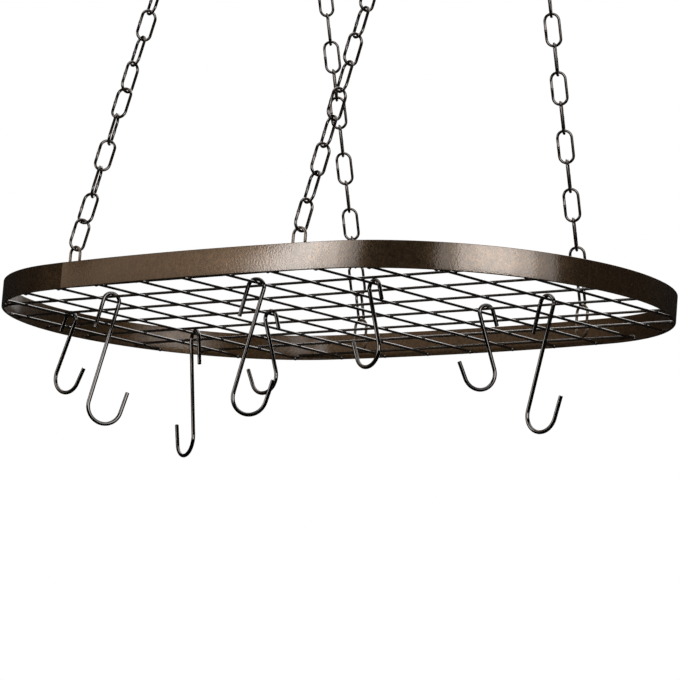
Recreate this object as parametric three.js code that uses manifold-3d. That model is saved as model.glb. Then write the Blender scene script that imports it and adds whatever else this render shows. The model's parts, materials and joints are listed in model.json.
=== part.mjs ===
// A hanging pot rack: an oval of flat bar with a welded wire grid across its lower edge, four chains
// that rise to screw-in ceiling hooks, and eight loose wire hooks over the grid's wires.
// Millimetres, +Z up. The origin is on the ceiling, above the middle of the rack.
// X runs along the oval, and "left" is -X. Y runs across it, and "near" is -Y.
import * as THREE from "three";
import { mergeVertices } from "three/addons/utils/BufferGeometryUtils.js";
import Module from "manifold-3d";

const wasm = await Module();
wasm.setup();

const clearance = 0.3; // between two pieces that touch

// The oval band
const rackLength = 838;
const rackWidth = 490;
const sideBow = 9; // half the width, less the outside radius of the bend at each end
const bandHeight = 29;
const bandThickness = 3;
const bandArcSteps = 10;

// The wire grid
const gridWire = 3;
const gridPitch = 63.5; // square cells
const crossWireCount = 13; // short wires, along Y
const longWireCount = 8; // long wires, along X, lying on the short ones
const gridLift = 0.5; // from the band's lower edge to the underside of the short wires
const gridWeldDepth = 0.3; // how far crossing wires sink into each other
const gridWireSides = 6;

// The chains
const linkWire = 3;
const linkLength = 39; // outside
const linkWidth = 19; // outside
const linkSides = 6;
const linkArcSteps = 6; // even, so that a ring stands where links bear on each other
const linksPerChain = 12;
const joinedSeat = 2.4; // between the wire centres of the two top links, which are joined
const hangerSpacing = 332; // between the two end links on one side of the band
const hangerRise = 18; // of an end link above the band's upper edge
const hangerWeldDepth = 0.6; // of an end link into the band
const chainLean = THREE.MathUtils.degToRad(16.2); // inwards as it rises

// The ceiling hooks
const ceilingWire = 5;
const ceilingBend = 9; // centre-line radius of the hook
const ceilingLip = 4; // straight end beyond the bend
const ceilingNeckTurn = THREE.MathUtils.degToRad(60);
const ceilingNeck = 4; // straight below the collar
const ceilingBendSteps = 8;
const neckSteps = 3;
const collarRadius = 9;
const collarThickness = 2.5;
const collarChamfer = 0.8;
const screwRadius = 2.4;
const screwLength = 32;
const screwPoint = 7;
const turnedSides = 12;

// The pot hooks, drawn from the end of the short leg to the tip
const hookWire = 4;
const hookSides = 6;
const hookBendSteps = 8;
const smallHook = { bend: 8, tilt: 20.6, leg: 17, shank: 61, bowl: 18, flare: 26, tip: 19 };
const largeHook = { bend: 9, tilt: 12.4, leg: 34, shank: 114, bowl: 19, flare: 15, tip: 24 };

// Worked out from the sizes above
const endRadius = rackWidth / 2 - sideBow;
const sideRadius =
  ((rackLength / 2) ** 2 + (rackWidth / 2) ** 2 - rackLength * endRadius) / (2 * sideBow);
const sideCentre = sideRadius - rackWidth / 2;
const endCentre = rackLength / 2 - endRadius;
const shortWireHeight = gridLift + gridWire / 2;
const longWireHeight = shortWireHeight + gridWire - gridWeldDepth;
const linkSpan = linkLength - linkWire; // along a link's centre line
const linkSeat = linkWire + clearance; // between the wire centres of two links that hang in each other
const linkPitch = linkSpan - linkSeat;
const hangerX = hangerSpacing / 2;
const hangerSlope = Math.asin(hangerX / (sideRadius - bandThickness));
const hangerY =
  (sideRadius - bandThickness) * Math.cos(hangerSlope) - sideCentre - linkWire / 2 + hangerWeldDepth;
const hangerTop = bandHeight + hangerRise - linkWire / 2; // of the end link's wire centre
const chainLength = (linksPerChain - 1) * linkPitch + linkSpan - linkSeat + (linkSeat - joinedSeat);
const ceilingSeat = (linkWire + ceilingWire) / 2 + clearance;
const ceilingRun = chainLength - ceilingSeat + ceilingBend; // from the end link to the hook's bend centre
const neckRadius = ceilingBend / 2 / (1 - Math.cos(ceilingNeckTurn));
const neckRise = 2 * neckRadius * Math.sin(ceilingNeckTurn) + ceilingNeck;
const ceilingHookY = hangerY - ceilingRun * Math.sin(chainLean);
const bendDrop = neckRise + collarThickness; // from the ceiling to the hook's bend centre
const rackDrop = hangerTop + ceilingRun * Math.cos(chainLean) + bendDrop; // to the band's lower edge

// Follows a flat line of straight runs and arcs, noting a point wherever a ring of the wire belongs.
class WireLine {
  constructor(x, z, headingDegrees) {
    this.points = [new THREE.Vector2(x, z)];
    this.heading = THREE.MathUtils.degToRad(headingDegrees);
  }

  get end() {
    return this.points.at(-1);
  }

  straight(length) {
    const step = new THREE.Vector2(Math.cos(this.heading), Math.sin(this.heading));
    this.points.push(this.end.clone().addScaledVector(step, length));
    return this;
  }

  // A positive turn bends to the left of the way the line is going.
  arc(radius, turn, steps) {
    const side = Math.sign(turn);
    const toCentre = new THREE.Vector2(-Math.sin(this.heading), Math.cos(this.heading));
    const centre = this.end.clone().addScaledVector(toCentre, side * radius);
    const start = this.end.clone();
    for (let i = 1; i <= steps; i++) this.points.push(start.clone().rotateAround(centre, (turn * i) / steps));
    this.heading += turn;
    return this;
  }
}

// A round wire along a flat line in the XZ plane, either a ring or with two cut ends.
function wireGeometry(points, wire, sides, closed) {
  const positions = [];
  const index = [];
  const rings = points.length;
  const before = (i) => (closed ? points[(i + rings - 1) % rings] : points[Math.max(i - 1, 0)]);
  const after = (i) => (closed ? points[(i + 1) % rings] : points[Math.min(i + 1, rings - 1)]);
  points.forEach((point, i) => {
    const arriving = point.clone().sub(before(i)).normalize();
    const leaving = after(i).clone().sub(point).normalize();
    const along = arriving.clone().add(leaving).normalize();
    const mitre = Math.max(along.dot(arriving), along.dot(leaving));
    for (let k = 0; k < sides; k++) {
      const turn = (2 * Math.PI * k) / sides;
      const across = ((wire / 2) * Math.cos(turn)) / mitre;
      positions.push(point.x - along.y * across, (wire / 2) * Math.sin(turn), point.y + along.x * across);
    }
  });
  for (let i = 0; i < (closed ? rings : rings - 1); i++) {
    for (let k = 0; k < sides; k++) {
      const a = i * sides + k;
      const b = i * sides + ((k + 1) % sides);
      const c = ((i + 1) % rings) * sides + k;
      const d = ((i + 1) % rings) * sides + ((k + 1) % sides);
      index.push(a, d, b, a, c, d);
    }
  }
  if (!closed) {
    const last = (rings - 1) * sides;
    for (let k = 1; k < sides - 1; k++) index.push(0, k, k + 1, last, last + k + 1, last + k);
  }
  const geometry = new THREE.BufferGeometry();
  geometry.setAttribute("position", new THREE.Float32BufferAttribute(positions, 3));
  geometry.setIndex(index);
  return geometry;
}

// The band's outline, or the same outline drawn in by an inset: four arcs that meet smoothly.
function ovalShape(inset) {
  const junction = Math.atan2(sideCentre, endCentre);
  const end = endRadius - inset;
  const side = sideRadius - inset;
  const shape = new THREE.Shape();
  shape.absarc(endCentre, 0, end, -junction, junction);
  shape.absarc(0, -sideCentre, side, junction, Math.PI - junction);
  shape.absarc(-endCentre, 0, end, Math.PI - junction, Math.PI + junction);
  shape.absarc(0, sideCentre, side, Math.PI + junction, 2 * Math.PI - junction);
  return shape;
}

function ovalPlate(shape, height) {
  return new THREE.ExtrudeGeometry(shape, { depth: height, bevelEnabled: false, curveSegments: bandArcSteps });
}

// A geometry as a solid that can be joined and cut, turned and moved into place first.
function solidOf(geometry, placement = new THREE.Matrix4()) {
  const bare = geometry.index ? geometry.toNonIndexed() : geometry.clone();
  bare.deleteAttribute("normal");
  bare.deleteAttribute("uv");
  const merged = mergeVertices(bare.applyMatrix4(placement), 1e-4);
  const vertProperties = merged.attributes.position.array;
  const triVerts = new Uint32Array(merged.index.array);
  return new wasm.Manifold(new wasm.Mesh({ numProp: 3, vertProperties, triVerts }));
}

function geometryOf(solid) {
  const mesh = solid.getMesh();
  const geometry = new THREE.BufferGeometry();
  geometry.setAttribute("position", new THREE.BufferAttribute(mesh.vertProperties, 3));
  geometry.setIndex(new THREE.BufferAttribute(mesh.triVerts, 1));
  return geometry;
}

function joined(solids) {
  return solids.reduce((whole, solid) => whole.add(solid));
}

function turnedAndMoved(turn, x, y, z) {
  return new THREE.Matrix4().makeRotationZ(turn).setPosition(x, y, z);
}

// One oval link, standing on its end around the origin.
function linkGeometry() {
  const bend = (linkWidth - linkWire) / 2;
  const side = linkSpan - 2 * bend;
  const line = new WireLine(bend, -side / 2, 90).straight(side).arc(bend, Math.PI, linkArcSteps);
  line.straight(side).arc(bend, Math.PI, linkArcSteps);
  line.points.pop(); // the ring closes on its first point
  return wireGeometry(line.points, linkWire, linkSides, true);
}

// The flat bar bent to an oval, with the four end links welded upright inside it.
function bandGeometry() {
  const outline = ovalShape(0);
  outline.holes.push(ovalShape(bandThickness));
  const endLinks = [];
  for (const alongX of [-1, 1]) {
    for (const alongY of [-1, 1]) {
      const height = hangerTop - linkSpan / 2;
      const place = turnedAndMoved(-alongX * alongY * hangerSlope, alongX * hangerX, alongY * hangerY, height);
      endLinks.push(solidOf(linkGeometry(), place));
    }
  }
  return geometryOf(joined([solidOf(ovalPlate(outline, bandHeight)), ...endLinks]));
}

// Wires at an even pitch about the middle, welded where they cross and cut to the band's inside.
function gridGeometry() {
  const wires = [];
  const wireAlong = (length, turn, x, y, height) => {
    const wire = new THREE.CylinderGeometry(gridWire / 2, gridWire / 2, length, gridWireSides, 1);
    wires.push(solidOf(wire, turnedAndMoved(turn, x, y, height)));
  };
  for (let i = 0; i < crossWireCount; i++) {
    wireAlong(rackWidth, 0, (i - (crossWireCount - 1) / 2) * gridPitch, 0, shortWireHeight);
  }
  for (let i = 0; i < longWireCount; i++) {
    wireAlong(rackLength, Math.PI / 2, 0, (i - (longWireCount - 1) / 2) * gridPitch, longWireHeight);
  }
  const inside = solidOf(ovalPlate(ovalShape(bandThickness + clearance), bandHeight));
  return geometryOf(joined(wires).intersect(inside));
}

// The two top links of a chain as one piece, drawn around the lower one's middle.
function joinedLinksGeometry(lowerTurn, upperTurn) {
  const lower = solidOf(linkGeometry(), turnedAndMoved(lowerTurn, 0, 0, 0));
  const upper = solidOf(linkGeometry(), turnedAndMoved(upperTurn, 0, 0, linkSpan - joinedSeat));
  return geometryOf(joined([lower, upper]));
}

// A screw-in hook, hanging from its collar: the origin is the middle of the collar's upper face.
function ceilingHookGeometry() {
  const line = new WireLine(-ceilingBend, ceilingLip - bendDrop, -90).straight(ceilingLip);
  line.arc(ceilingBend, Math.PI, ceilingBendSteps);
  line.arc(neckRadius, ceilingNeckTurn, neckSteps).arc(neckRadius, -ceilingNeckTurn, neckSteps);
  line.straight(ceilingNeck + collarThickness / 2);
  const profile = [
    [0, -collarThickness],
    [collarRadius - collarChamfer, -collarThickness],
    [collarRadius, collarChamfer - collarThickness],
    [collarRadius, 0],
    [screwRadius, 0],
    [screwRadius, screwLength - screwPoint],
    [0, screwLength],
  ].map(([radius, height]) => new THREE.Vector2(radius, height));
  const collarAndScrew = new THREE.LatheGeometry(profile, turnedSides).rotateX(Math.PI / 2);
  return geometryOf(joined([solidOf(wireGeometry(line.points, ceilingWire, hookSides, false)), solidOf(collarAndScrew)]));
}

// A pot hook around the grid wire that it hangs on: the origin is on the wire's axis.
function potHookGeometry(hook) {
  const tilt = THREE.MathUtils.degToRad(hook.tilt);
  const flare = THREE.MathUtils.degToRad(hook.flare);
  const wireAboveBend = hook.bend - (hookWire + gridWire) / 2 - clearance;
  const legEnd = new THREE.Vector2(-hook.bend * Math.cos(tilt), hook.bend * Math.sin(tilt) - wireAboveBend);
  legEnd.x -= hook.leg * Math.sin(tilt);
  legEnd.y -= hook.leg * Math.cos(tilt);
  const line = new WireLine(legEnd.x, legEnd.y, 90 - hook.tilt).straight(hook.leg);
  line.arc(hook.bend, -Math.PI, hookBendSteps).straight(hook.shank);
  line.arc(hook.bowl, Math.PI + tilt - flare, hookBendSteps).straight(hook.tip);
  return wireGeometry(line.points, hookWire, hookSides, false);
}

const steel = (colour, roughness) =>
  new THREE.MeshStandardMaterial({ color: colour, roughness, metalness: 0.85 });
const bandPaint = steel(0x4a3c30, 0.5);
const gridPaint = steel(0x2a231f, 0.4);
const chainPaint = steel(0x3a2f29, 0.35);
const hookPaint = steel(0x2f2825, 0.35);

const potRack = new THREE.Group();
const rack = new THREE.Group();
rack.position.z = -rackDrop;
potRack.add(rack);

function addPiece(parent, name, geometry, material) {
  const piece = new THREE.Mesh(geometry, material);
  piece.name = name;
  parent.add(piece);
  return piece;
}

addPiece(rack, "oval_band", bandGeometry(), bandPaint);
addPiece(rack, "wire_grid", gridGeometry(), gridPaint);

// The chains differ only in how their links are turned about the chain: "turn" is the whole chain's,
// and "wander" is how far it winds to and fro on the way up. Links alternate by a quarter turn.
const chains = [
  { name: "near_left", alongX: -1, alongY: -1, turn: 42, wander: 32 },
  { name: "near_right", alongX: 1, alongY: -1, turn: -13, wander: 0 },
  { name: "far_left", alongX: -1, alongY: 1, turn: 39, wander: 0 },
  { name: "far_right", alongX: 1, alongY: 1, turn: 35, wander: 0 },
];
const wanderLinks = 10; // links in one winding to and fro
const squareLink = 4; // the link at which the winding is nil

function linkTurn(chain, number) {
  const quarter = number % 2 ? 90 : 0;
  const ease = number === 1 || number === linksPerChain ? 0.5 : 1; // next to the end link and the hook
  const wound = chain.wander * (Math.cos((2 * Math.PI * (number - squareLink)) / wanderLinks) - 1);
  return THREE.MathUtils.degToRad(quarter + ease * chain.turn + wound);
}

for (const chain of chains) {
  const strand = new THREE.Group();
  strand.position.set(chain.alongX * hangerX, chain.alongY * hangerY, hangerTop);
  strand.rotation.x = chain.alongY * chainLean;
  rack.add(strand);
  const singles = linksPerChain - 2;
  for (let number = 1; number <= singles; number++) {
    const link = addPiece(
      strand,
      chain.name + "_link_" + String(number).padStart(2, "0"),
      linkGeometry(),
      chainPaint,
    );
    link.position.z = (number - 1) * linkPitch + linkSpan / 2 - linkSeat;
    link.rotation.z = linkTurn(chain, number);
  }
  const topLinks = joinedLinksGeometry(linkTurn(chain, singles + 1), linkTurn(chain, singles + 2));
  const topPiece = addPiece(strand, chain.name + "_top_links", topLinks, chainPaint);
  topPiece.position.z = singles * linkPitch + linkSpan / 2 - linkSeat;

  const hook = addPiece(potRack, "ceiling_hook_" + chain.name, ceilingHookGeometry(), chainPaint);
  hook.position.set(chain.alongX * hangerX, chain.alongY * ceilingHookY, 0);
  hook.rotation.z = (chain.alongY * Math.PI) / 2;
}

// Each pot hook hangs on one wire, counted from the left or from the near side, and lies "along" cells
// from the wire's middle. Its tip points to "facing", in degrees about Z from +X.
const potHooks = [
  { name: "small_hook_1", size: smallHook, crossWire: 1, along: -1.4, facing: 3 },
  { name: "small_hook_2", size: smallHook, crossWire: 5, along: -0.42, facing: 181 },
  { name: "small_hook_3", size: smallHook, crossWire: 9, along: -2.21, facing: 172 },
  { name: "small_hook_4", size: smallHook, longWire: 4, along: 3.14, facing: 244 },
  { name: "large_hook_1", size: largeHook, longWire: 1, along: -2.86, facing: 62 },
  { name: "large_hook_2", size: largeHook, crossWire: 2, along: 0.79, facing: 162 },
  { name: "large_hook_3", size: largeHook, crossWire: 7, along: -2.93, facing: 23 },
  { name: "large_hook_4", size: largeHook, crossWire: 11, along: -0.15, facing: 0 },
];
for (const item of potHooks) {
  const hook = addPiece(rack, item.name, potHookGeometry(item.size), hookPaint);
  if (item.longWire === undefined) {
    hook.position.set(
      (item.crossWire - (crossWireCount - 1) / 2) * gridPitch,
      item.along * gridPitch,
      shortWireHeight,
    );
  } else {
    hook.position.set(
      item.along * gridPitch,
      (item.longWire - (longWireCount - 1) / 2) * gridPitch,
      longWireHeight,
    );
  }
  hook.rotation.z = THREE.MathUtils.degToRad(item.facing);
}

export default potRack;
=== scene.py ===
"""Looks for a hanging pot rack: painted steel wire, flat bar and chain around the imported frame.

Everything is in metres, +Z up, in the frame's own axes. The origin is on the ceiling above the
middle of the rack, +X runs along the oval and -Y is its near side. Wire is drawn as on a bending
jig: a ring is extruded along the straight runs and spun round the bends, then copied to where the
frame says.
"""

from __future__ import annotations

import json
import logging
import math
from collections.abc import Iterable, Iterator
from contextlib import contextmanager
from dataclasses import dataclass, field, replace
from enum import Enum

import bmesh
import bpy
import numpy as np
from mathutils import Matrix, Vector

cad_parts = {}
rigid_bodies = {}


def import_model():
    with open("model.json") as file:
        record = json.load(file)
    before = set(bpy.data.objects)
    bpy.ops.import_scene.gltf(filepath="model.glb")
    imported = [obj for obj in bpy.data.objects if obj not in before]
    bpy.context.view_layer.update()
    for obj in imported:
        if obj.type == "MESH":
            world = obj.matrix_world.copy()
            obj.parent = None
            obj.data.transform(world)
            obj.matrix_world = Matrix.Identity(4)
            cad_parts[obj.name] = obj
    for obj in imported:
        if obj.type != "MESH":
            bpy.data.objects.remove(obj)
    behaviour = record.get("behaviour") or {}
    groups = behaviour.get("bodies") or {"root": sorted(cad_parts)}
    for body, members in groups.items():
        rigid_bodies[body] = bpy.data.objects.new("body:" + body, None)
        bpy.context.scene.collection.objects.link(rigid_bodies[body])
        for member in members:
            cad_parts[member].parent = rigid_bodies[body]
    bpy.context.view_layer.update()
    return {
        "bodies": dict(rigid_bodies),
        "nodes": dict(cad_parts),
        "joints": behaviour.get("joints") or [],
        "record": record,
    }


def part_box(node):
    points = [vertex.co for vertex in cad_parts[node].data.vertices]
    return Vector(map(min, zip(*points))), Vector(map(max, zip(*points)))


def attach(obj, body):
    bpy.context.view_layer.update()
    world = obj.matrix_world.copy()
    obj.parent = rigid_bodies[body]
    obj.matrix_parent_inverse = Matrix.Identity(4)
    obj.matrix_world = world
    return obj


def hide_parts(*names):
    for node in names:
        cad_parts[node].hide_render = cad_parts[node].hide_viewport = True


log = logging.getLogger("pot_rack")

Triple = tuple[float, float, float]
Colour = Triple
Piece = bpy.types.Object
Socket = bpy.types.NodeSocket
Material = bpy.types.Material

MM = 0.001
SMOOTH_ANGLE = math.radians(40)
MERGE_DISTANCE = 0.01 * MM
FLAT_FACE = 0.9  # how nearly upright a face's normal is on a level face
BEAD_DETAIL = 3  # subdivisions of the ball that a weld bead starts as
BEAD_SHIFTS = {"offset": 0.02, "uniform": 0.2, "normal": 0.8, "seed": 3}  # of that ball's points


class Corner(Enum):
    """One corner of the rack, as the signs of X and Y."""

    NEAR_LEFT = (-1, -1)
    NEAR_RIGHT = (1, -1)
    FAR_LEFT = (-1, 1)
    FAR_RIGHT = (1, 1)

    @property
    def label(self) -> str:
        """The corner as it stands in the frame's names."""
        return self.name.lower()

    @property
    def chain_body(self) -> str:
        """The body that this corner's chain moves with."""
        return "left_chains" if self.value[0] < 0 else "right_chains"


# ---- Finishes ----


class NodeGraph:
    """Puts nodes into a node tree and joins them up."""

    def __init__(self, owner: Material | bpy.types.World) -> None:
        """Starts from the node tree of a material or a world."""
        self.tree = owner.node_tree

    def add(self, kind: str, **settings: object) -> bpy.types.Node:
        """Adds a node.

        Args:
            kind: The node's type name.
            **settings: Properties to set on it.

        Returns:
            The new node.
        """
        node = self.tree.nodes.new(kind)
        for name, value in settings.items():
            setattr(node, name, value)
        return node

    def link(self, source: Socket, target: Socket) -> None:
        """Joins an output to an input."""
        self.tree.links.new(source, target)

    def noise(self, where: Socket, size: float, detail: float) -> Socket:
        """Adds a noise pattern.

        Args:
            where: The coordinates that it reads.
            size: Size of its patches, in metres.
            detail: How much finer noise lies in it.

        Returns:
            The pattern's value, from 0 to 1.
        """
        node = self.add("ShaderNodeTexNoise")
        node.inputs["Scale"].default_value = 1 / size
        node.inputs["Detail"].default_value = detail
        self.link(where, node.inputs["Vector"])
        return node.outputs["Fac"]

    def ranged(
        self, value: Socket, low: float, high: float, part: tuple[float, float] = (0.3, 0.7)
    ) -> Socket:
        """Spreads a part of a value's range over another range.

        Args:
            value: The value.
            low: What the lower end of the part becomes.
            high: What its upper end becomes.
            part: The part, which a noise value fills when none is given.

        Returns:
            The spread value.
        """
        node = self.add("ShaderNodeMapRange")
        for name, number in zip(("From Min", "From Max", "To Min", "To Max"), (*part, low, high)):
            node.inputs[name].default_value = number
        self.link(value, node.inputs["Value"])
        return node.outputs["Result"]

    def calculated(self, operation: str, first: float | Socket, second: float | Socket) -> Socket:
        """Adds a sum with two values.

        Args:
            operation: The kind of sum.
            first: A number, or a socket that gives one.
            second: A number, or a socket that gives one.

        Returns:
            The result.
        """
        node = self.add("ShaderNodeMath", operation=operation)
        for socket, value in zip(node.inputs, (first, second)):
            if isinstance(value, float):
                socket.default_value = value
            else:
                self.link(value, socket)
        return node.outputs["Value"]

    def scaled(self, colour: Socket, share: Socket) -> Socket:
        """Makes a colour lighter or darker.

        Args:
            colour: The colour.
            share: What to multiply it by.

        Returns:
            The changed colour.
        """
        node = self.add("ShaderNodeVectorMath", operation="SCALE")
        self.link(colour, node.inputs[0])
        self.link(share, node.inputs["Scale"])
        return node.outputs["Vector"]

    def facing_inwards(self) -> Socket:
        """Tells the faces that look towards the origin's upright axis from the others.

        Returns:
            1 on such a face, and 0 on any other.
        """
        where = self.add("ShaderNodeTexCoord")
        level = self.add("ShaderNodeVectorMath", operation="MULTIPLY")
        level.inputs[1].default_value = (1, 1, 0)
        self.link(where.outputs["Object"], level.inputs[0])
        product = self.add("ShaderNodeVectorMath", operation="DOT_PRODUCT")
        self.link(where.outputs["Normal"], product.inputs[0])
        self.link(level.outputs["Vector"], product.inputs[1])
        return self.calculated("LESS_THAN", product.outputs["Value"], 0.0)

    def mixed(self, factor: Socket, first: Colour | Socket, second: Colour) -> Socket:
        """Mixes two colours.

        Args:
            factor: 0 for the first colour and 1 for the second.
            first: A colour, or a socket that gives one.
            second: A colour.

        Returns:
            The mixed colour.
        """
        node = self.add("ShaderNodeMix", data_type="RGBA")
        start, end = node.inputs[6:8]  # its sockets for colours
        self.link(factor, node.inputs[0])
        if isinstance(first, tuple):
            start.default_value = (*first, 1)
        else:
            self.link(first, start)
        end.default_value = (*second, 1)
        return node.outputs[2]


def new_material(name: str, settings: dict[str, object]) -> tuple[Material, bpy.types.Node]:
    """Makes a material of one shader.

    Args:
        name: The material's name.
        settings: Values for the shader's sockets, by the sockets' names.

    Returns:
        The material and its shader.
    """
    material = bpy.data.materials.new(name)
    material.use_nodes = True
    shader = material.node_tree.nodes["Principled BSDF"]
    for socket, value in settings.items():
        shader.inputs[socket].default_value = value
    return material, shader


@dataclass(frozen=True)
class Paint:
    """A coat of dark bronze paint on steel."""

    slot: str
    colour: Colour
    patch_colour: Colour  # where the coat lies thicker
    worn_colour: Colour  # along sharp edges, where it is thin
    metallic: float
    roughness: float
    lacquer_roughness: float
    peel_size: float  # the orange peel's bumps
    peel_depth: float
    peel_strength: float
    peel_detail: float = 1.5
    lacquer: float = 1.0
    lacquer_index: float = 1.8
    patch_size: float = 28 * MM
    patch_detail: float = 4
    haze_size: float = 9 * MM
    haze_detail: float = 3
    haze: tuple[float, float] = (-0.05, 0.07)  # what it adds to the roughness, from and to
    mottle: float = 0.0  # how much a fine grain lightens and darkens the coat, as a share
    mottle_size: float = 3 * MM
    inside_roughness: float = 0.0  # added on the rack's inside, where less paint lands
    inside_lacquer: float = 1.0  # share of the lacquer there
    wear_from: float = 0.56  # pointiness at which an edge starts to be worn
    wear_to: float = 0.7  # and at which it is worn through

    def material(self) -> Material:
        """Builds the coat as a node material.

        Returns:
            The material.
        """
        material, shader = new_material(
            self.slot,
            {
                "Metallic": self.metallic,
                "Coat Weight": self.lacquer,
                "Coat Roughness": self.lacquer_roughness,
                "Coat IOR": self.lacquer_index,
            },
        )
        graph = NodeGraph(material)
        place = graph.add("ShaderNodeTexCoord").outputs["Object"]
        graph.link(self.base_colour(graph, place), shader.inputs["Base Color"])

        haze = graph.noise(place, self.haze_size, self.haze_detail)
        roughness = graph.ranged(haze, *(self.roughness + change for change in self.haze))
        if self.inside_roughness:
            inside = graph.facing_inwards()
            more = graph.calculated("MULTIPLY", inside, self.inside_roughness)
            roughness = graph.calculated("ADD", roughness, more)
            less = graph.calculated("MULTIPLY", inside, self.lacquer * (1 - self.inside_lacquer))
            lacquer = graph.calculated("SUBTRACT", self.lacquer, less)
            graph.link(lacquer, shader.inputs["Coat Weight"])
        graph.link(roughness, shader.inputs["Roughness"])

        bump = graph.add("ShaderNodeBump")
        bump.inputs["Distance"].default_value = self.peel_depth
        bump.inputs["Strength"].default_value = self.peel_strength
        graph.link(graph.noise(place, self.peel_size, self.peel_detail), bump.inputs["Height"])
        for socket in ("Normal", "Coat Normal"):
            graph.link(bump.outputs["Normal"], shader.inputs[socket])
        return material

    def base_colour(self, graph: NodeGraph, place: Socket) -> Socket:
        """Mixes the coat's colour: thicker patches, the fine mottle and the worn edges.

        Args:
            graph: The material's graph.
            place: The coordinates that the patterns read.

        Returns:
            The colour.
        """
        patches = graph.ranged(graph.noise(place, self.patch_size, self.patch_detail), 0, 1)
        coat = graph.mixed(patches, self.colour, self.patch_colour)
        if self.mottle:
            grain = graph.noise(place, self.mottle_size, self.peel_detail)
            coat = graph.scaled(coat, graph.ranged(grain, 1 - self.mottle, 1 + self.mottle))
        pointiness = graph.add("ShaderNodeNewGeometry").outputs["Pointiness"]
        worn = graph.ranged(pointiness, 0, 1, (self.wear_from, self.wear_to))
        return graph.mixed(worn, coat, self.worn_colour)


BAND_PAINT = Paint(
    slot="band_paint",
    colour=(0.080, 0.043, 0.017),
    patch_colour=(0.094, 0.053, 0.023),
    worn_colour=(0.17, 0.12, 0.08),
    metallic=0.8,
    roughness=0.26,
    lacquer_roughness=0.12,
    peel_size=2.0 * MM,
    peel_depth=0.11 * MM,
    peel_strength=0.75,
    mottle=0.35,
    inside_roughness=0.2,
    inside_lacquer=0.3,
    wear_from=0.515,
    wear_to=0.58,
)
CHAIN_PAINT = Paint(
    slot="chain_paint",
    colour=(0.052, 0.033, 0.022),
    patch_colour=(0.070, 0.046, 0.032),
    worn_colour=(0.180, 0.135, 0.105),
    metallic=0.9,
    roughness=0.2,
    lacquer_roughness=0.08,
    peel_size=4 * MM,
    peel_depth=0.05 * MM,
    peel_strength=0.5,
    lacquer_index=2.0,
    wear_from=0.7,
    wear_to=0.9,
)
GRID_PAINT = replace(
    CHAIN_PAINT,
    slot="grid_paint",
    colour=(0.020, 0.013, 0.009),
    patch_colour=(0.034, 0.022, 0.014),
    worn_colour=(0.090, 0.066, 0.048),
    metallic=0.7,
    roughness=0.22,
    peel_depth=0.04 * MM,
    lacquer_index=2.1,
)
HOOK_PAINT = replace(
    CHAIN_PAINT,
    slot="hook_paint",
    colour=(0.040, 0.030, 0.023),
    patch_colour=(0.056, 0.043, 0.034),
    worn_colour=(0.260, 0.220, 0.190),
    metallic=1.0,
    roughness=0.12,
    lacquer_roughness=0.04,
    peel_size=8 * MM,
    peel_depth=0.03 * MM,
    peel_strength=0.4,
)
CEILING_HOOK_PAINT = Paint(
    slot="ceiling_hook_paint",
    colour=(0.070, 0.046, 0.032),
    patch_colour=(0.094, 0.064, 0.046),
    worn_colour=(0.200, 0.150, 0.115),
    metallic=0.9,
    roughness=0.28,
    lacquer_roughness=0.15,
    peel_size=3 * MM,
    peel_depth=0.05 * MM,
    peel_strength=0.6,
)


# ---- Modelling by hand ----


def added(name: str) -> Piece:
    """Names the piece that an operator has just added, which is the only one selected.

    Args:
        name: Its name.

    Returns:
        The piece.
    """
    piece = bpy.context.object
    piece.name = name
    return piece


def pick(piece: Piece) -> None:
    """Makes one piece the only one that is selected, and the active one.

    Args:
        piece: The piece.
    """
    bpy.ops.object.select_all(action="DESELECT")
    piece.select_set(True)
    bpy.context.view_layer.objects.active = piece


def settle(piece: Piece) -> None:
    """Moves a piece's place into its mesh, so that its object sits at the origin, unturned."""
    pick(piece)
    bpy.ops.object.transform_apply(location=True, rotation=True, scale=True)


@contextmanager
def editing(piece: Piece) -> Iterator[None]:
    """Opens a piece's mesh with all of it selected, and closes it again at the end.

    Args:
        piece: The piece.

    Yields:
        Nothing, while the mesh is open.
    """
    pick(piece)
    bpy.ops.object.mode_set(mode="EDIT")
    bpy.ops.mesh.select_all(action="SELECT")
    yield
    bpy.ops.object.mode_set(mode="OBJECT")


def close_up(piece: Piece) -> None:
    """Merges doubled points, turns the faces outwards and smooths all but the sharp edges.

    Args:
        piece: The piece to finish.
    """
    with editing(piece):
        bpy.ops.mesh.remove_doubles(threshold=MERGE_DISTANCE)
        bpy.ops.mesh.normals_make_consistent(inside=False)
    bpy.ops.object.shade_smooth_by_angle(angle=SMOOTH_ANGLE)


def copy_to(pattern: Piece, name: str, place: Matrix) -> Piece:
    """Copies a pattern, with a mesh of its own, and puts the copy in its place.

    Args:
        pattern: The piece to copy.
        name: The copy's name.
        place: Where the pattern's origin and axes go.

    Returns:
        The copy.
    """
    piece = pattern.copy()
    piece.data = pattern.data.copy()
    piece.name = name
    piece.data.name = name
    bpy.context.scene.collection.objects.link(piece)
    piece.matrix_world = place
    settle(piece)
    return piece


def join_pieces(pieces: list[Piece], name: str) -> Piece:
    """Joins several pieces into the first one.

    Args:
        pieces: The pieces to join.
        name: The joined piece's name.

    Returns:
        The joined piece.
    """
    pick(pieces[0])
    for piece in pieces[1:]:
        piece.select_set(True)
    bpy.ops.object.join()
    pieces[0].name = name
    pieces[0].data.name = name
    return pieces[0]


def extrude(step: Vector) -> None:
    """Draws the selected ring or face on by a step."""
    bpy.ops.mesh.extrude_region_move(TRANSFORM_OT_translate={"value": step})


def resize(shares: Triple, middle: Vector) -> None:
    """Scales what is selected about a middle."""
    bpy.ops.transform.resize(value=shares, center_override=middle)


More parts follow.
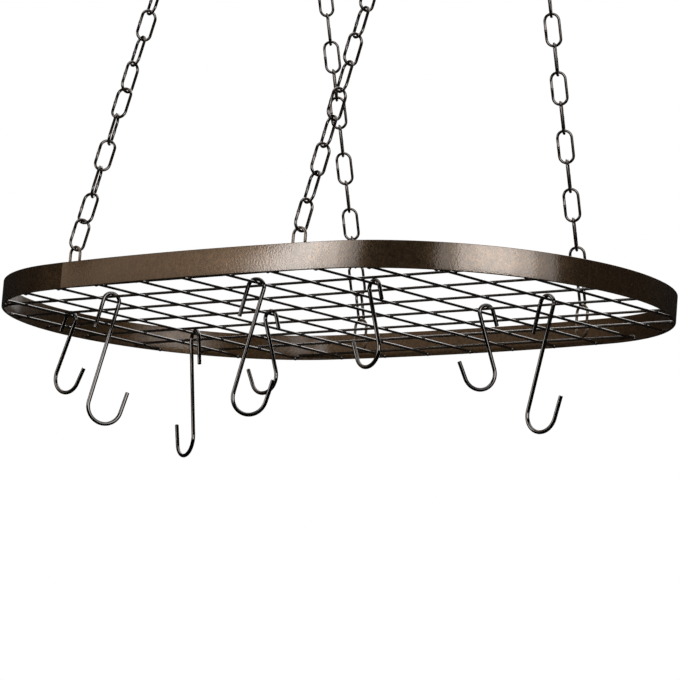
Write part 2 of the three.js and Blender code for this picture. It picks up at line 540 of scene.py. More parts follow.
def sweep(centre: Vector, degrees: float, steps: int) -> None:
    """Draws the selected ring round an upright axis, from +X towards +Y."""
    bpy.ops.mesh.spin(steps=steps, angle=math.radians(degrees), center=centre, axis=(0, 0, -1))


def select_level_faces(facing: int) -> None:
    """Selects the level faces of the mesh in hand that look one way.

    Args:
        facing: 1 for those that look up, and -1 for those that look down.
    """
    data = bpy.context.edit_object.data
    for face in bmesh.from_edit_mesh(data).faces:
        face.select_set(face.normal.z * facing > FLAT_FACE)
    bmesh.update_edit_mesh(data)


def select_points(middle: Vector, reach: float) -> None:
    """Selects the points of the mesh in hand that lie near a place, and nothing else.

    Args:
        middle: The place, in the piece's own axes.
        reach: How near a point has to lie.
    """
    data = bpy.context.edit_object.data
    mesh = bmesh.from_edit_mesh(data)
    for part in (*mesh.faces, *mesh.edges):
        part.select_set(False)
    for point in mesh.verts:
        point.select_set((point.co - middle).length < reach)
    mesh.select_flush(True)
    bmesh.update_edit_mesh(data)


def turned(axis: str, degrees: float) -> Matrix:
    """A turn about the X, Y or Z axis."""
    return Matrix.Rotation(math.radians(degrees), 4, axis)


class BendingJig:
    """Bends one round wire in the XZ plane, starting from a ring of points.

    The wire's ring is extruded along a straight run and spun round a bend. A bend of a positive
    angle turns from +X towards +Z.
    """

    CHAMFER = 0.16  # share of the wire's radius that a cut end is rounded by
    RING_REACH = 1.02  # how far from a ring's middle its points are looked for, in radii

    def __init__(
        self, name: str, wire: float, start: tuple[float, float], heading: float, sides: int
    ) -> None:
        """Sets the first ring.

        Args:
            name: Name of the piece.
            wire: Diameter of the wire.
            start: X and Z of the wire's start.
            heading: The way that it sets off, in degrees from +X towards +Z.
            sides: Points round the wire.
        """
        self.radius = wire / 2
        self.at = Vector((start[0], 0.0, start[1]))
        self.start = self.at.copy()
        self.heading = math.radians(heading)
        self.first_way = self.way
        bpy.ops.mesh.primitive_circle_add(
            vertices=sides,
            radius=self.radius,
            fill_type="NOTHING",
            location=self.at,
            rotation=(0.0, math.pi / 2 - self.heading, 0.0),
        )
        self.piece = added(name)
        settle(self.piece)
        bpy.ops.object.mode_set(mode="EDIT")
        bpy.ops.mesh.select_all(action="SELECT")

    @property
    def way(self) -> Vector:
        """The way that the wire is going."""
        return Vector((math.cos(self.heading), 0.0, math.sin(self.heading)))

    def straight(self, length: float) -> BendingJig:
        """Draws the wire on in a straight run.

        Args:
            length: Length of the run.

        Returns:
            The jig.
        """
        extrude(self.way * length)
        self.at += self.way * length
        return self

    def bend(self, radius: float, degrees: float, steps: int) -> BendingJig:
        """Bends the wire.

        Args:
            radius: Radius of the bend at the wire's middle.
            degrees: Angle of the bend.
            steps: Rings in the bend.

        Returns:
            The jig.
        """
        turn = math.radians(degrees)
        to_centre = Vector((-math.sin(self.heading), 0.0, math.cos(self.heading)))
        centre = self.at + to_centre * math.copysign(radius, turn)
        bpy.ops.mesh.spin(steps=steps, angle=turn, center=centre, axis=(0.0, 1.0, 0.0))
        self.at = centre + Matrix.Rotation(-turn, 3, "Y") @ (self.at - centre)
        self.heading += turn
        return self

    def swell(self, share: float) -> BendingJig:
        """Scales the last ring about the wire's middle by a share."""
        resize((share, share, share), self.at)
        return self

    def cut(self, middle: Vector, way: Vector) -> None:
        """Ends the selected ring in a cut face with a rounded rim.

        Args:
            middle: The ring's middle.
            way: The way out of the wire.
        """
        step = way * (self.CHAMFER * self.radius)
        share = 1 - self.CHAMFER
        extrude(step)
        resize((share, share, share), middle + step)
        bpy.ops.mesh.edge_face_add()

    def finish(self, closed: bool) -> Piece:
        """Ends the bending.

        Args:
            closed: True for a ring that meets its own start, False for a wire with two cut ends.

        Returns:
            The wire as a piece.
        """
        if not closed:
            self.cut(self.at, self.way)
            select_points(self.start, self.radius * self.RING_REACH)
            self.cut(self.start, -self.first_way)
        bpy.ops.object.mode_set(mode="OBJECT")
        close_up(self.piece)
        return self.piece


def cylinder(name: str, sides: int, radius: float, low: float, high: float) -> Piece:
    """Turns an upright cylinder on the Z axis.

    Args:
        name: Name of the piece.
        sides: Faces round it.
        radius: Its radius.
        low: Height of its lower face.
        high: Height of its upper face.

    Returns:
        The cylinder.
    """
    bpy.ops.mesh.primitive_cylinder_add(
        vertices=sides, radius=radius, depth=high - low, location=(0, 0, (low + high) / 2)
    )
    piece = added(name)
    settle(piece)
    return piece


def weld_bead(name: str, size: Triple) -> Piece:
    """Models an uneven lump of weld around the origin.

    Args:
        name: Name of the piece.
        size: Its length along X, Y and Z.

    Returns:
        The bead.
    """
    bpy.ops.mesh.primitive_ico_sphere_add(subdivisions=BEAD_DETAIL, radius=0.5)
    piece = added(name)
    with editing(piece):
        bpy.ops.transform.vertex_random(**BEAD_SHIFTS)
        resize(size, Vector())
    close_up(piece)
    return piece


# ---- Where things are ----


@dataclass(frozen=True)
class OvalPlan:
    """The band from above: four arcs that meet smoothly."""

    length: float = 838 * MM
    width: float = 490 * MM
    bar: float = 3 * MM  # thickness of the bar
    side_bow: float = 9 * MM  # half the width, less the outside radius of the bend at each end

    @property
    def end_radius(self) -> float:
        """Outside radius of the bend at each end."""
        return self.width / 2 - self.side_bow

    @property
    def side_radius(self) -> float:
        """Outside radius of the long sides."""
        half_length, half_width = self.length / 2, self.width / 2
        spare = half_length**2 + half_width**2 - self.length * self.end_radius
        return spare / (2 * self.side_bow)

    @property
    def side_centre(self) -> float:
        """How far across the middle line a long side's centre lies."""
        return self.side_radius - self.width / 2

    @property
    def end_centre(self) -> float:
        """How far from the middle an end's centre lies."""
        return self.length / 2 - self.end_radius

    @property
    def junction(self) -> float:
        """Angle from X at which an end's arc meets a side's arc, in degrees."""
        return math.degrees(math.atan2(self.side_centre, self.end_centre))

    def inner_half_width(self, x: float) -> float:
        """Half the width inside the bar at a place along the oval.

        Args:
            x: The place.

        Returns:
            Half the width there.
        """
        along = abs(x)
        end = self.end_radius - self.bar
        if along <= self.end_centre + end * math.cos(math.radians(self.junction)):
            return math.sqrt((self.side_radius - self.bar) ** 2 - along**2) - self.side_centre
        return math.sqrt(end**2 - (along - self.end_centre) ** 2)

    def inner_half_length(self, y: float) -> float:
        """Half the length inside the bar at a place across the oval.

        Args:
            y: The place.

        Returns:
            Half the length there.
        """
        across = abs(y)
        end = self.end_radius - self.bar
        if across <= end * math.sin(math.radians(self.junction)):
            return self.end_centre + math.sqrt(end**2 - across**2)
        return math.sqrt((self.side_radius - self.bar) ** 2 - (across + self.side_centre) ** 2)


def link_place(points: np.ndarray, middle: Vector, along: Vector) -> Matrix:
    """Finds how a chain link stands from the points of its solid.

    Args:
        points: Points of the link, or of half of it.
        middle: The link's middle.
        along: The way that the link stands.

    Returns:
        The link's place, with Z along it and X across its width.
    """
    way = np.array(along)
    flat = points - np.array(middle)
    flat = flat - np.outer(flat @ way, way)
    across = Vector(np.linalg.eigh(flat.T @ flat)[1][:, -1])
    across = (across - along * across.dot(along)).normalized()
    turn = Matrix((across, along.cross(across), along)).transposed()
    return Matrix.Translation(middle) @ turn.to_4x4()


# ---- The rack's parts ----


@dataclass
class RackPart:
    """What every part of the rack shares: its finish, and the pieces that it has made."""

    frame: dict
    paint: Paint
    pieces: list[Piece] = field(default_factory=list)

    def __post_init__(self) -> None:
        """Builds the finish's material."""
        self.finish = self.paint.material()

    def node_points(self, name: str) -> np.ndarray:
        """The points of a CAD node's mesh, one row each."""
        return np.array([point.co for point in self.frame["nodes"][name].data.vertices], float)

    def dress(self, piece: Piece, body: str, nodes: Iterable[str] = ()) -> None:
        """Paints a piece and makes it move with its body.

        Args:
            piece: The finished piece.
            body: The body that it rides on.
            nodes: The CAD nodes that it stands for.
        """
        piece.data.materials.clear()
        piece.data.materials.append(self.finish)
        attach(piece, body)
        if nodes:
            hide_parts(*nodes)
        self.pieces.append(piece)
        log.info("%s rides on %s", piece.name, body)


@dataclass(frozen=True)
class LinkShape:
    """The sizes of one chain link."""

    wire: float = 3 * MM
    coat: float = 0.1 * MM  # thickness of the paint
    length: float = 39 * MM
    width: float = 19 * MM
    weld_swell: float = 1.13  # how thick the wire is at its butt weld, as a share
    weld_reach: float = 1.5 * MM  # half the weld's length
    weld_slope: float = 0.6 * MM  # length over which it ends
    groove: float = 0.97  # how thick the wire is in the weld's middle, as a share
    groove_reach: float = 0.3 * MM
    sides: int = 14
    bend_steps: int = 14

    def model(self, name: str) -> Piece:
        """Bends and welds one link around the origin, standing on its end.

        Args:
            name: Name of the piece.

        Returns:
            The link.
        """
        bend = (self.width - self.wire) / 2
        side = self.length - self.wire - 2 * bend
        ridge = self.weld_reach - self.weld_slope
        plain = side / 2 - self.groove_reach - ridge - self.weld_slope
        jig = BendingJig(name, self.wire + 2 * self.coat, (bend, 0.0), 90, self.sides)
        jig.swell(self.groove).straight(self.groove_reach).swell(self.weld_swell / self.groove)
        jig.straight(ridge).straight(self.weld_slope).swell(1 / self.weld_swell)
        jig.straight(plain).bend(bend, 180, self.bend_steps)
        jig.straight(side).bend(bend, 180, self.bend_steps)
        jig.straight(plain).straight(self.weld_slope).swell(self.weld_swell)
        jig.straight(ridge).straight(self.groove_reach).swell(self.groove / self.weld_swell)
        return jig.finish(closed=True)


@dataclass
class Chains(RackPart):
    """The four chains, and the pattern of their links."""

    paint: Paint = CHAIN_PAINT
    singles: int = 10  # links that are a node each; two more at the top share one
    link: LinkShape = LinkShape()

    def build(self) -> None:
        """Models one link and hangs copies of it where the frame's links are."""
        pattern = self.link.model("link_pattern")
        for corner in Corner:
            self.hang(corner, pattern)
        bpy.data.objects.remove(pattern)

    def hang(self, corner: Corner, pattern: Piece) -> None:
        """Hangs one chain.

        Args:
            corner: The chain's corner.
            pattern: The link to copy.
        """
        names = [f"{corner.label}_link_{number:02d}" for number in range(1, self.singles + 1)]
        middles = [sum(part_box(name), Vector()) / 2 for name in names]
        along = (middles[-1] - middles[0]).normalized()
        places = zip(names, middles)
        links = [(name, name, self.node_points(name), middle) for name, middle in places]

        top = f"{corner.label}_top_links"
        points = self.node_points(top)
        heights = (points - np.array(middles[-1])) @ np.array(along)
        parting = (heights.max() + heights.min()) / 2
        pitch = (middles[-1] - middles[0]).length / (self.singles - 1)
        upper = heights.max() - self.link.length / 2
        halves = ((pitch, points[heights < parting]), (upper, points[heights > parting]))
        for number, (rise, half) in enumerate(halves, start=self.singles + 1):
            name = f"{corner.label}_link_{number:02d}"
            links.append((name, top, half, middles[-1] + along * rise))

        for name, node, points, middle in links:
            place = link_place(points, middle, along)
            self.dress(copy_to(pattern, f"chain_{name}", place), corner.chain_body, [node])


@dataclass
class Band(RackPart):
    """The oval of flat bar, its butt weld, and the end links welded inside it."""

    paint: Paint = BAND_PAINT
    plan: OvalPlan = OvalPlan()
    height: float = 29 * MM
    edge_radius: float = 0.6 * MM  # rounding of the bar's long edges
    edge_steps: int = 4
    seam_x: float = -181.5 * MM  # place of the butt weld along the near side
    seam_swell: float = 1.34  # how thick the bar is there, as a share
    seam_before: float = 18 * MM  # from where the bar starts to thicken to the weld
    seam_after: float = 10 * MM  # and on to where it is even again
    seam_edge: float = 0.5 * MM  # from these slopes' ends to the rings that keep them straight
    near_steps: int = 16
    far_steps: int = 18
    end_steps: int = 56
    hanger_spacing: float = 332 * MM  # from one end link of a long side to the other
    hanger_weld_depth: float = 0.6 * MM  # how deep an end link sinks into the bar
    link: LinkShape = LinkShape()
    bead_size: Triple = (4.6 * MM, 3.4 * MM, 15 * MM)  # along the bar, through it and up
    bead_drop: float = 9.5 * MM  # from the bar's upper edge to the bead's middle
    bead_inset: float = 0.42  # from the leg's middle to the bead's, as a share of the wire

    @property
    def lower_edge(self) -> float:
        """Height of the band's lower edge."""
        low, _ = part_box("oval_band")
        return low.z

    @property
    def side_line(self) -> float:
        """Radius of the long sides at the middle of the bar's thickness."""
        return self.plan.side_radius - self.plan.bar / 2

    @property
    def seam_angle(self) -> float:
        """Where the butt weld is, in degrees about the near side's centre."""
        return -90 + math.degrees(math.asin(self.seam_x / self.side_line))

    def build(self) -> None:
        """Models the band and welds its end links in."""
        self.dress(self.bent_bar(), "rack", ["oval_band"])
        pattern = self.link.model("end_link_pattern")
        bead = weld_bead("bead_pattern", self.bead_size)
        for corner in Corner:
            self.weld_in(corner, pattern, bead)
        bpy.data.objects.remove(pattern)
        bpy.data.objects.remove(bead)

    def section(self) -> Piece:
        """Stands the bar's section, an open ring with rounded corners, where the butt weld is.

        Returns:
            The section.
        """
        bpy.ops.mesh.primitive_plane_add(size=1, location=(0, 0, 0))
        piece = added("flat_bar_band")
        with editing(piece):
            resize((self.plan.bar, self.height, 1), Vector())
            steps = self.edge_steps
            bpy.ops.mesh.bevel(offset=self.edge_radius, segments=steps, affect="VERTICES")
            bpy.ops.mesh.delete(type="ONLY_FACE")
        place = Matrix.Translation(self.along_side(self.seam_angle))
        piece.matrix_world = place @ turned("Z", self.seam_angle) @ turned("X", 90)
        settle(piece)
        return piece

    def bent_bar(self) -> Piece:
        """Draws the bar's section round the oval, from the butt weld back to it.

        Returns:
            The band.
        """
        side_centre = Vector((0, self.plan.side_centre, 0))
        end_centre = Vector((self.plan.end_centre, 0, 0))
        side_turn = 90 - self.plan.junction
        before_seam = math.degrees(self.seam_before / self.side_line)
        after_seam = math.degrees(self.seam_after / self.side_line)
        edge = self.seam_edge
        piece = self.section()
        with editing(piece):
            resize((1, self.seam_swell, 1), self.along_side(self.seam_angle))
            self.sweep_weld((0, edge, self.seam_after - edge, self.seam_after))
            sweep(side_centre, -90 + side_turn - self.seam_angle - after_seam, self.near_steps)
            sweep(end_centre, 2 * self.plan.junction, self.end_steps)
            sweep(-side_centre, 2 * side_turn, self.far_steps)
            sweep(-end_centre, 2 * self.plan.junction, self.end_steps)
            sweep(side_centre, self.seam_angle - before_seam + 90 + side_turn, 1)
            self.sweep_weld((-self.seam_before, edge - self.seam_before, -edge, 0))
        close_up(piece)
        return piece

    def along_side(self, degrees: float) -> Vector:
        """Finds the middle of the bar on the near side.

        Args:
            degrees: The angle about that side's centre, from +X.

        Returns:
            The place.
        """
        angle = math.radians(degrees)
        x = self.side_line * math.cos(angle)
        y = self.plan.side_centre + self.side_line * math.sin(angle)
        return Vector((x, y, self.lower_edge + self.height / 2))

    def weld_share(self, past_seam: float) -> float:
        """How thick the bar is at a distance past its weld, as a share."""
        reach = self.seam_after if past_seam > 0 else self.seam_before
        return 1 + (self.seam_swell - 1) * max(0.0, 1 - abs(past_seam) / reach)

    def sweep_weld(self, stops: tuple[float, ...]) -> None:
        """Bends the bar on beside its weld, a ring at each stop.

        Args:
            stops: Distances past the weld, from the last ring's place on.
        """
        centre = Vector((0, self.plan.side_centre, 0))
        for start, end in zip(stops, stops[1:]):
            sweep(centre, math.degrees((end - start) / self.side_line), 1)
            middle = self.along_side(self.seam_angle + math.degrees(end / self.side_line))
            resize((1, self.weld_share(end) / self.weld_share(start), 1), middle)

    def weld_in(self, corner: Corner, pattern: Piece, bead: Piece) -> None:
        """Welds one end link upright inside the band.

        Args:
            corner: The link's corner.
            pattern: The link to copy.
            bead: The weld bead to copy.
        """
        along_x, along_y = corner.value
        inner = self.plan.side_radius - self.plan.bar
        slope = math.asin(self.hanger_spacing / 2 / inner)
        face = inner * math.cos(slope) - self.plan.side_centre
        across = face - self.link.wire / 2 + self.hanger_weld_depth
        _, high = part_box("oval_band")
        height = high.z - self.link.length / 2
        middle = Vector((along_x * self.hanger_spacing / 2, along_y * across, height))
        turn = Matrix.Rotation(-along_x * along_y * slope, 4, "Z")
        place = Matrix.Translation(middle) @ turn
        link = copy_to(pattern, f"end_link_{corner.label}", place)

        leg = (self.link.width - self.link.wire) / 2
        bead_y = along_y * self.link.wire * self.bead_inset
        bead_z = self.lower_edge + self.height - self.bead_drop - height
        name = f"end_weld_{corner.label}"
        beads = [
            copy_to(bead, name, place @ Matrix.Translation((side * leg, bead_y, bead_z)))
            for side in (-1, 1)
        ]
        self.dress(link, "rack")
        self.dress(join_pieces(beads, name), "rack")


@dataclass
class Grid(RackPart):
    """The welded grid of wires across the band's lower edge."""

    paint: Paint = GRID_PAINT
    plan: OvalPlan = OvalPlan()
    wire: float = 3 * MM
    pitch: float = 63.5 * MM  # from wire to wire
    short_wires: int = 13
    long_wires: int = 8
    sides: int = 14
    end_bead: Triple = (6.0 * MM, 5.2 * MM, 4.4 * MM)  # along the wire, across it and up
    end_bead_inset: float = 1.4 * MM  # from the wire's end to the bead's middle
    end_bead_drop: float = 0.8 * MM
    spot: Triple = (3.7 * MM, 3.7 * MM, 2.0 * MM)  # the squeezed weld where two wires cross

    def rows(self, count: int) -> list[float]:
        """Where the wires of one kind stand, at even steps about the middle."""
        return [(number - (count - 1) / 2) * self.pitch for number in range(count)]

    def build(self) -> None:
        """Models every wire to its length, with its end welds, and the spots where wires cross."""
        low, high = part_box("wire_grid")
        short_height = low.z + self.wire / 2
        long_height = high.z - self.wire / 2
        bead = weld_bead("end_bead_pattern", self.end_bead)
        for number, x in enumerate(self.rows(self.short_wires), start=1):
            place = Matrix.Translation((x, 0, short_height)) @ turned("Z", 90)
            self.lay_wire(f"short_wire_{number:02d}", self.plan.inner_half_width(x), place, bead)
        for number, y in enumerate(self.rows(self.long_wires), start=1):
            place = Matrix.Translation((0, y, long_height))
            self.lay_wire(f"long_wire_{number:02d}", self.plan.inner_half_length(y), place, bead)
        bpy.data.objects.remove(bead)
        self.spot_welds((short_height + long_height) / 2)

    def lay_wire(self, name: str, half: float, place: Matrix, bead: Piece) -> None:
        """Makes one wire with a weld at each end. The first one stands for the whole CAD grid.

        Args:
            name: The wire's name.
            half: Half its length.
            place: Its place, with X along it.
            bead: The weld bead to copy.
        """
        jig = BendingJig(name, self.wire, (-half, 0), 0, self.sides)
        wire = jig.straight(2 * half).finish(closed=False)
        wire.matrix_world = place
        settle(wire)
        inset = half - self.end_bead_inset
        ends = [
            copy_to(bead, name, place @ Matrix.Translation((side * inset, 0, -self.end_bead_drop)))
            for side in (-1, 1)
        ]
        stands_for = [] if self.pieces else ["wire_grid"]
        self.dress(join_pieces([wire, *ends], name), "rack", stands_for)

    def spot_welds(self, height: float) -> None:
        """Puts a small squeezed weld wherever two wires cross inside the band.

        Args:
            height: Height of the welds.
        """
        pattern = weld_bead("spot_pattern", self.spot)
        spots = [
            copy_to(pattern, "grid_spot_welds", Matrix.Translation((x, y, height)))
            for x in self.rows(self.short_wires)
            for y in self.rows(self.long_wires)
            if abs(y) < self.plan.inner_half_width(x) - self.wire
        ]
        bpy.data.objects.remove(pattern)
        self.dress(join_pieces(spots, "grid_spot_welds"), "rack")


@dataclass(frozen=True)
class HookShape:
    """The line of a pot hook, from the end of its short leg to its tip."""

    bend: float  # radius over the wire, at the hook's own middle line
    tilt: float  # lean of the shank, in degrees
    leg: float  # the short leg
    shank: float
    bowl: float  # radius, as for the bend
    flare: float  # lean of the tip, in degrees
    tip: float


class HookSize(Enum):
    """The two sizes of pot hook."""

    SMALL = HookShape(8 * MM, 20.6, 17 * MM, 61 * MM, 18 * MM, 26, 19 * MM)
    LARGE = HookShape(9 * MM, 12.4, 34 * MM, 114 * MM, 19 * MM, 15, 24 * MM)


@dataclass
class PotHooks(RackPart):
    """The eight loose hooks on the grid's wires."""

    paint: Paint = HOOK_PAINT
    wire: float = 4 * MM
    coat: float = 0.2 * MM  # thickness of the paint
    grid_wire: float = 3 * MM
    clearance: float = 0.3 * MM  # play between a hook and its wire
    sides: int = 18
    bend_steps: int = 22
    bowl_steps: int = 30
    # name, size, and the way the tip points, in degrees about Z from +X
    hooks: tuple[tuple[str, HookSize, float], ...] = (
        ("small_hook_1", HookSize.SMALL, 3),
        ("small_hook_2", HookSize.SMALL, 181),
        ("small_hook_3", HookSize.SMALL, 172),
        ("small_hook_4", HookSize.SMALL, 244),
        ("large_hook_1", HookSize.LARGE, 62),
        ("large_hook_2", HookSize.LARGE, 162),
        ("large_hook_3", HookSize.LARGE, 23),
        ("large_hook_4", HookSize.LARGE, 0),
    )

    def build(self) -> None:
        """Bends one hook of each size and hangs copies at the frame's swing axes."""
        axes = {joint["name"]: joint["pos_m"] for joint in self.frame["joints"]}
        patterns = {size: self.bent(size.value, f"{size.name}_pattern") for size in HookSize}
        for name, size, facing in self.hooks:
            place = Matrix.Translation(axes[f"{name}_swing"]) @ turned("Z", facing)
            self.dress(copy_to(patterns[size], f"pot_{name}", place), name, [name])
        for pattern in patterns.values():
            bpy.data.objects.remove(pattern)

    def bent(self, shape: HookShape, name: str) -> Piece:
        """Bends one hook, with the grid wire's middle at the origin.

        Args:
            shape: The hook's sizes.
            name: Name of the piece.

        Returns:
            The hook.
        """
        tilt = math.radians(shape.tilt)
        wire_above_bend = shape.bend - (self.wire + self.grid_wire) / 2 - self.clearance
        start = (
            -shape.bend * math.cos(tilt) - shape.leg * math.sin(tilt),
            shape.bend * math.sin(tilt) - wire_above_bend - shape.leg * math.cos(tilt),
        )
        jig = BendingJig(name, self.wire + 2 * self.coat, start, 90 - shape.tilt, self.sides)
        jig.straight(shape.leg).bend(shape.bend, -180, self.bend_steps).straight(shape.shank)
        jig.bend(shape.bowl, 180 + shape.tilt - shape.flare, self.bowl_steps).straight(shape.tip)
        return jig.finish(closed=False)


@dataclass
class CeilingHooks(RackPart):
    """The four screw-in hooks that the chains hang from."""

    paint: Paint = CEILING_HOOK_PAINT
    wire: float = 5 * MM
    bend: float = 9 * MM  # radius at the wire's middle line
    lip: float = 4 * MM
    neck_turn: float = 60  # each of the two bends that bring the wire under its screw, in degrees
    neck: float = 4 * MM
    sides: int = 18
    bend_steps: int = 24
    neck_steps: int = 10
    collar_sides: int = 48
    collar_radius: float = 9 * MM
    collar_thickness: float = 2.5 * MM
    collar_rounding: float = 0.8 * MM
    collar_steps: int = 4  # of the rounding
    screw_sides: int = 24
    screw_radius: float = 2.4 * MM
    screw_length: float = 32 * MM
    screw_point: float = 7 * MM
    core: float = 0.74  # the screw's core, as a share of its radius
    shoulder: float = 4 * MM  # the plain shank below the thread
    sink: float = 0.4 * MM  # how deep it sits in the collar
    shoulder_slope: float = 0.8 * MM  # length over which it narrows to the core
    tip_gap: float = 0.3 * MM  # from the core's tip to the point
    tip_radius: float = 0.2 * MM
    thread_start: float = 4.6 * MM
    thread_foot: float = 0.7  # where the thread rises from, as a share of the screw's radius
    thread_width: float = 0.55  # as a share of its pitch
    thread_pitch: float = 2.2 * MM
    thread_turns: int = 12
    thread_steps: int = 20
    thread_end: float = 0.08  # share of its radius that the thread keeps at the point

    def build(self) -> None:
        """Models one hook and screws copies of it into the ceiling."""
        parts = [self.bent_hook(), self.collar(), self.screw(), self.thread()]
        pattern = join_pieces(parts, "hook_pattern")
        for corner in Corner:
            name = f"ceiling_hook_{corner.label}"
            low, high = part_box(name)
            spot = Vector(((low.x + high.x) / 2, (low.y + high.y) / 2, 0))
            place = Matrix.Translation(spot) @ turned("Z", 90 * corner.value[1])
            hook = copy_to(pattern, f"screw_hook_{corner.label}", place)
            self.dress(hook, "ceiling_hooks", [name])
        bpy.data.objects.remove(pattern)

    def bent_hook(self) -> Piece:
        """Bends the hook, hanging from the origin.

        Returns:
            The hook.
        """
        turn = math.radians(self.neck_turn)
        neck_radius = self.bend / 2 / (1 - math.cos(turn))
        drop = 2 * neck_radius * math.sin(turn) + self.neck + self.collar_thickness
        jig = BendingJig("bent_hook", self.wire, (-self.bend, self.lip - drop), -90, self.sides)
        jig.straight(self.lip).bend(self.bend, 180, self.bend_steps)
        for way in (1, -1):
            jig.bend(neck_radius, way * self.neck_turn, self.neck_steps)
        return jig.straight(self.neck + self.collar_thickness / 2).finish(closed=False)

    def collar(self) -> Piece:
        """Turns the collar, with its rim rounded below.

        Returns:
            The collar.
        """
        low = -self.collar_thickness
        piece = cylinder("collar", self.collar_sides, self.collar_radius, low, 0)
        with editing(piece):
            select_level_faces(-1)
            bpy.ops.mesh.bevel(offset=self.collar_rounding, segments=self.collar_steps)
        close_up(piece)
        return piece

    def screw(self) -> Piece:
        """Turns the screw's core, which tapers to a point.

        Returns:
            The core.
        """
        height = self.shoulder - self.sink
        piece = cylinder("screw", self.screw_sides, self.screw_radius, -self.sink, height)
        core = self.core * self.screw_radius
        straight = self.screw_length - self.screw_point - height - self.shoulder_slope
        now = self.screw_radius
        with editing(piece):
            select_level_faces(1)
            for rise, radius in (
                (self.shoulder_slope, core),
                (straight, core),
                (self.screw_point - self.tip_gap, self.tip_radius),
            ):
                extrude(Vector((0, 0, rise)))
                height += rise
                resize((radius / now, radius / now, 1), Vector((0, 0, height)))
                now = radius
        close_up(piece)
        return piece

    def thread(self) -> Piece:
        """Winds the thread, a three-cornered ridge, round the screw.

        Returns:
            The thread.
        """
        foot = self.thread_foot * self.screw_radius
        half = self.thread_width * self.thread_pitch / 2
        bpy.ops.mesh.primitive_circle_add(vertices=3, radius=1, fill_type="NOTHING")
        piece = added("thread")
        corners = ((foot, 0, -half), (self.screw_radius, 0, 0), (foot, 0, half))
        for point, corner in zip(piece.data.vertices, corners):
            point.co = corner
        piece.location.z = self.thread_start
        settle(piece)
        winding = piece.modifiers.new("winding", "SCREW")
        winding.angle = math.tau
        winding.screw_offset = self.thread_pitch
        winding.iterations = self.thread_turns
        winding.steps = winding.render_steps = self.thread_steps
        bpy.ops.object.modifier_apply(modifier=winding.name)
        with editing(piece):
            bpy.ops.mesh.fill_holes(sides=3)
        self.taper(piece)
        close_up(piece)
        return piece

    def taper(self, piece: Piece) -> None:
        """Draws the thread in towards the screw's point.

        Args:
            piece: The thread.
        """
        straight = self.screw_length - self.screw_point
        for point in piece.data.vertices:
            past = max(0.0, point.co.z - straight) / self.screw_point
            share = max(self.thread_end, 1 - past)
            point.co.x *= share
            point.co.y *= share


# ---- The studio ----


@dataclass(frozen=True)
class Softbox:
    """A soft lamp that stands round the rack and faces it."""

    name: str
    azimuth: float  # about Z from +X, in degrees
    spread: float  # its width, in degrees as the rack sees it
    radiance: float
    distance: float = 3.0
    tint: Colour = (1.0, 1.0, 1.0)
    elevation: float = 10  # above the rack, in degrees
    height: float = 24  # in degrees, too

    @property
    def way(self) -> Vector:
        """The way from the rack to the lamp."""
        azimuth, elevation = math.radians(self.azimuth), math.radians(self.elevation)
        level = math.cos(elevation)
        return Vector((level * math.cos(azimuth), level * math.sin(azimuth), math.sin(elevation)))

    def set_up(self, middle: Vector) -> None:
        """Stands the lamp up, facing the rack.

        Args:
            middle: The rack's middle.
        """
        width = 2 * self.distance * math.tan(math.radians(self.spread / 2))
        height = 2 * self.distance * math.tan(math.radians(self.height / 2))
        bpy.ops.object.light_add(type="AREA", location=middle + self.way * self.distance)
        lamp = added(self.name)
        lamp.data.shape = "RECTANGLE"
        lamp.data.size = width
        lamp.data.size_y = height
        lamp.data.energy = self.radiance * math.pi * width * height
        lamp.data.color = self.tint
        lamp.rotation_euler = (-self.way).to_track_quat("-Z", "Y").to_euler()
        lamp.visible_camera = False


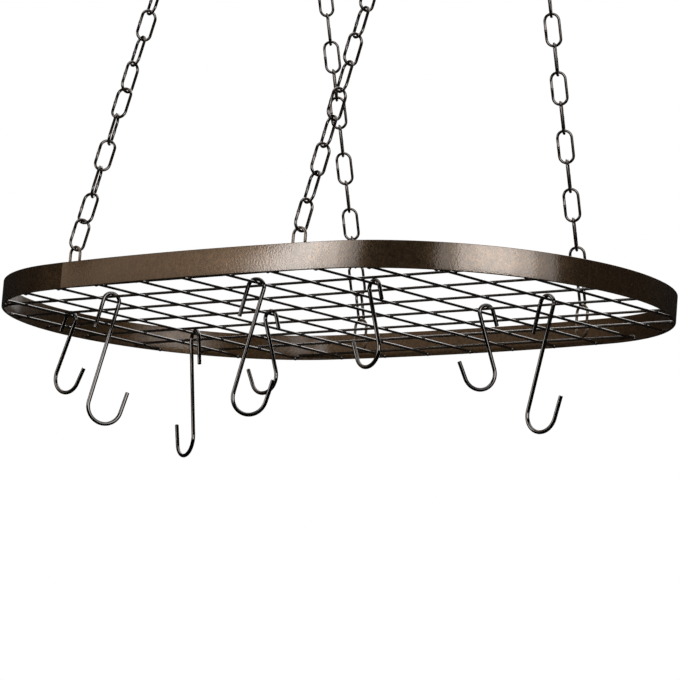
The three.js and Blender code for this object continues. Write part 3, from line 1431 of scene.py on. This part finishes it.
@dataclass(frozen=True)
class Studio:
    """The floor, the white room, the lamps, the dark screens and the camera."""

    rack_height: float = -0.42  # of its middle
    floor_sides: int = 96
    floor_height: float = -2.4
    floor_radius: float = 14
    floor_grey: float = 0.86
    floor_glow: float = 0.5  # how much paler than lit the floor is where it is looked at
    room_light: float = 0.35
    lamps: tuple[Softbox, ...] = (
        Softbox("side_fill", -127.2, 18.5, 0.5, 1.6, (1.0, 0.78, 0.58)),
        Softbox("side_fill_dim", -139, 5, 0.56, 1.6, (1.0, 0.76, 0.55)),
        Softbox("side_edge", -113, 6, 1.45, 1.6),
        Softbox("side_key", -107, 6, 2.9, 1.6),
        Softbox("side_fall", -97, 10, 1.25, 1.6),
        Softbox("side_back_key", -119, 6, 4.4),
        Softbox("side_back_fall", -108, 8, 1.25),
        Softbox("end_edge", -52, 10, 0.95),
        Softbox("end_rise", -42, 10, 3.3),
        Softbox("end_key", -29, 16, 4.3),
        Softbox("end_fall", -16, 10, 3.0),
        Softbox("end_fill", -5.5, 11, 1.15),
        Softbox("back_edge", 122, 17, 1.1, 1.1),
        Softbox("top_back", 112, 56, 2.0, elevation=38, height=34),
    )
    screen_sides: int = 120
    screen_distance: float = 3.6
    screen_foot: float = -1.96  # from the rack's middle, as is the top
    screen_top: float = 4.3
    screen_grey: float = 0.02
    camera_place: Triple = (3.0629, -3.3051, -1.1747)
    camera_right: Triple = (0.74135, 0.66657, 0.07798)
    camera_up: Triple = (0.04563, -0.166, 0.98507)
    focal_pixels: float = 4143.2
    frame_pixels: float = 681
    sensor: float = 36  # width in millimetres
    far_away: float = 60

    def build(self) -> None:
        """Sets up everything that isn't part of the rack."""
        self.set_floor()
        self.set_room()
        for lamp in self.lamps:
            lamp.set_up(Vector((0, 0, self.rack_height)))
        self.set_screens()
        self.set_camera()
        bpy.context.scene.view_settings.view_transform = "Standard"

    def set_floor(self) -> None:
        """Lays a matt floor that is pale where it is looked at, and throws no light for it."""
        bpy.ops.mesh.primitive_circle_add(
            vertices=self.floor_sides,
            radius=self.floor_radius,
            fill_type="NGON",
            location=(0, 0, self.floor_height),
        )
        floor = added("floor")
        material, shader = new_material(
            "pale_floor",
            {
                "Base Color": (*[self.floor_grey] * 3, 1),
                "Roughness": 0.9,
                "Specular IOR Level": 0.1,
                "Emission Color": (1, 1, 1, 1),
            },
        )
        graph = NodeGraph(material)
        looked_at = graph.add("ShaderNodeLightPath").outputs["Is Camera Ray"]
        glow = graph.calculated("MULTIPLY", looked_at, self.floor_glow)
        graph.link(glow, shader.inputs["Emission Strength"])
        floor.data.materials.append(material)

    def set_room(self) -> None:
        """Makes the room white where it is looked at or mirrored, and a soft light elsewhere."""
        world = bpy.data.worlds.new("white_room")
        bpy.context.scene.world = world
        world.use_nodes = True
        world.node_tree.nodes.clear()
        graph = NodeGraph(world)
        rays = graph.add("ShaderNodeLightPath").outputs
        seen = graph.calculated("MAXIMUM", rays["Is Camera Ray"], rays["Is Glossy Ray"])
        seen = graph.calculated("MAXIMUM", seen, rays["Is Transmission Ray"])
        mix = graph.add("ShaderNodeMixShader")
        graph.link(seen, mix.inputs["Fac"])
        for socket, strength in zip(mix.inputs[1:], (self.room_light, 1)):
            white = graph.add("ShaderNodeBackground")
            white.inputs["Color"].default_value = (1, 1, 1, 1)
            white.inputs["Strength"].default_value = strength
            graph.link(white.outputs["Background"], socket)
        output = graph.add("ShaderNodeOutputWorld")
        graph.link(mix.outputs["Shader"], output.inputs["Surface"])

    def set_screens(self) -> None:
        """Sets dark screens round the rack, and a cloth, that only the paint's mirroring sees."""
        foot, top = self.rack_height + self.screen_foot, self.rack_height + self.screen_top
        screens = cylinder("dark_screens", self.screen_sides, self.screen_distance, foot, top)
        with editing(screens):
            select_level_faces(1)
            bpy.ops.mesh.delete(type="FACE")
        grey = (*[self.screen_grey] * 3, 1)
        dark = {"Base Color": grey, "Roughness": 1, "Specular IOR Level": 0}
        material, _ = new_material("dark_screen", dark)
        screens.data.materials.append(material)
        for kind in ("camera", "diffuse", "transmission", "shadow", "volume_scatter"):
            setattr(screens, f"visible_{kind}", False)

    def set_camera(self) -> None:
        """Puts the camera where the photograph was taken from, with its field of view."""
        right = Vector(self.camera_right).normalized()
        up = Vector(self.camera_up)
        up = (up - right * up.dot(right)).normalized()
        turn = Matrix((right, up, right.cross(up))).transposed().to_4x4()
        data = bpy.data.cameras.new("camera")
        data.sensor_width = self.sensor
        data.lens = self.focal_pixels * self.sensor / self.frame_pixels
        data.clip_end = self.far_away
        camera = bpy.data.objects.new("camera", data)
        camera.matrix_world = Matrix.Translation(self.camera_place) @ turn
        bpy.context.scene.collection.objects.link(camera)
        bpy.context.scene.camera = camera


def main() -> None:
    """Builds the studio and the rack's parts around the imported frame."""
    logging.basicConfig(level=logging.INFO, format="%(name)s: %(message)s")
    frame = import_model()
    Studio().build()
    for part_class in (Band, Grid, Chains, CeilingHooks, PotHooks):
        part = part_class(frame)
        part.build()
        log.info("%s: %d pieces", part_class.__name__, len(part.pieces))


if __name__ == "__main__":
    main()
